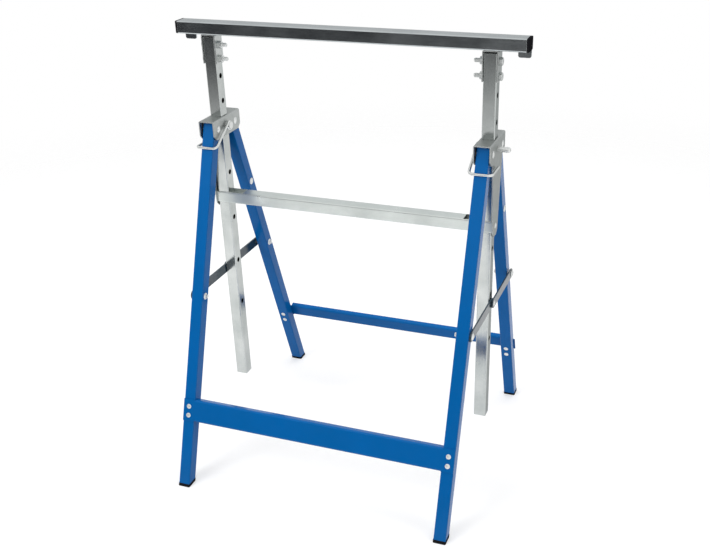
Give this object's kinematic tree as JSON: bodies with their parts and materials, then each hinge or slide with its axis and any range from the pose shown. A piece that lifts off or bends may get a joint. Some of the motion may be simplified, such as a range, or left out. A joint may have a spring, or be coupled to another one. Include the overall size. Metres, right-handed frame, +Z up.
{
  "type": "folding builders trestle",
  "caption": "Folding builders trestle: a steel top bar on telescoping pinned masts above two hinged leg frames that are held open by folding stays.",
  "frame": {"origin": "on the floor, in the middle of the four feet", "axes": "+Z up, +X along the top bar to the picture's right, -Y towards the picture's front"},
  "size_m": [0.7, 0.6006, 0.9055],
  "materials": {
    "blue_paint": "gloss blue powder coat on steel tube and flat bar",
    "bright_zinc": "bright zinc-plated steel tube",
    "galvanised": "galvanised sheet steel, satin",
    "grey_steel": "grey steel, satin",
    "fastener": "zinc-plated rivets, bolts, nuts and pins",
    "spring_wire": "zinc-plated spring wire",
    "black_plastic": "matt black moulded plugs and feet"
  },
  "bodies": {
    "main_frame": {"top_bar": "grey_steel", "bar_cap_left": "black_plastic", "bar_cap_right": "black_plastic", "end_stop_rivets": "fastener", "saddle_left": "galvanised", "saddle_right": "galvanised", "saddle_bolts": "fastener", "saddle_nuts": "fastener", "mast_left": "bright_zinc", "mast_right": "bright_zinc", "head_left": "galvanised", "head_right": "galvanised", "leg_pivot_rivets": "fastener", "stretcher": "galvanised", "stretcher_rivets": "fastener"},
    "end_stop_left": {"end_stop_left": "grey_steel"},
    "end_stop_right": {"end_stop_right": "grey_steel"},
    "lock_left": {"lock_pin_left": "fastener", "lock_wire_left": "spring_wire"},
    "lock_right": {"lock_pin_right": "fastener", "lock_wire_right": "spring_wire"},
    "front_frame": {"front_leg_left": "blue_paint", "front_leg_right": "blue_paint", "front_foot_left": "black_plastic", "front_foot_right": "black_plastic", "front_brace": "blue_paint", "front_brace_rivets": "fastener", "front_stay_bolts": "fastener", "front_stay_nuts": "fastener"},
    "rear_frame": {"rear_leg_left": "blue_paint", "rear_leg_right": "blue_paint", "rear_foot_left": "black_plastic", "rear_foot_right": "black_plastic", "rear_brace": "blue_paint", "rear_brace_rivets": "fastener", "rear_stay_bolts": "fastener", "rear_stay_nuts": "fastener", "rear_stay_spacers": "fastener", "rear_leg_rivets": "fastener"},
    "front_link_left": {"front_stay_left": "blue_paint"},
    "front_link_right": {"front_stay_right": "blue_paint"},
    "rear_link_left": {"rear_stay_left": "blue_paint", "stay_rivet_left": "fastener"},
    "rear_link_right": {"rear_stay_right": "blue_paint", "stay_rivet_right": "fastener"}
  },
  "joints": [
    {"name": "front_fold", "type": "hinge", "parent": "main_frame", "child": "front_frame", "pos_m": [0, -0.035, 0.7], "axis": [1, 0, 0], "range_deg": [0, 19.8]},
    {"name": "rear_fold", "type": "hinge", "parent": "main_frame", "child": "rear_frame", "pos_m": [0, 0.035, 0.7], "axis": [-1, 0, 0], "range_deg": [0, 19.8]},
    {"name": "front_link_left_fold", "type": "hinge", "parent": "front_frame", "child": "front_link_left", "pos_m": [-0.2971, -0.14983, 0.38104], "axis": [1, 0, 0], "range_deg": [0, 56.9]},
    {"name": "front_link_right_fold", "type": "hinge", "parent": "front_frame", "child": "front_link_right", "pos_m": [0.2971, -0.14983, 0.38104], "axis": [1, 0, 0], "range_deg": [0, 56.9]},
    {"name": "rear_link_left_fold", "type": "hinge", "parent": "rear_frame", "child": "rear_link_left", "pos_m": [-0.3007, 0.14983, 0.38104], "axis": [-1, 0, 0], "range_deg": [0, 56.9]},
    {"name": "rear_link_right_fold", "type": "hinge", "parent": "rear_frame", "child": "rear_link_right", "pos_m": [0.3007, 0.14983, 0.38104], "axis": [-1, 0, 0], "range_deg": [0, 56.9]},
    {"name": "lock_left_turn", "type": "hinge", "parent": "main_frame", "child": "lock_left", "pos_m": [-0.2825, 0, 0.7], "axis": [-1, 0, 0], "range_deg": [0, 100]},
    {"name": "lock_right_turn", "type": "hinge", "parent": "main_frame", "child": "lock_right", "pos_m": [0.2825, 0, 0.7], "axis": [-1, 0, 0], "range_deg": [0, 100]},
    {"name": "end_stop_left_flip", "type": "hinge", "parent": "main_frame", "child": "end_stop_left", "pos_m": [-0.3375, 0.0179, 0.8935], "axis": [0, 1, 0], "range_deg": [0, 180]},
    {"name": "end_stop_right_flip", "type": "hinge", "parent": "main_frame", "child": "end_stop_right", "pos_m": [0.3375, 0.0179, 0.8935], "axis": [0, -1, 0], "range_deg": [0, 180]}
  ],
  "couplings": [
    {"joint": "rear_fold", "follows": "front_fold", "ratio": 1},
    {"joint": "front_link_left_fold", "follows": "front_fold", "ratio": 2.863},
    {"joint": "front_link_right_fold", "follows": "front_fold", "ratio": 2.863},
    {"joint": "rear_link_left_fold", "follows": "front_fold", "ratio": 2.863},
    {"joint": "rear_link_right_fold", "follows": "front_fold", "ratio": 2.863}
  ]
}
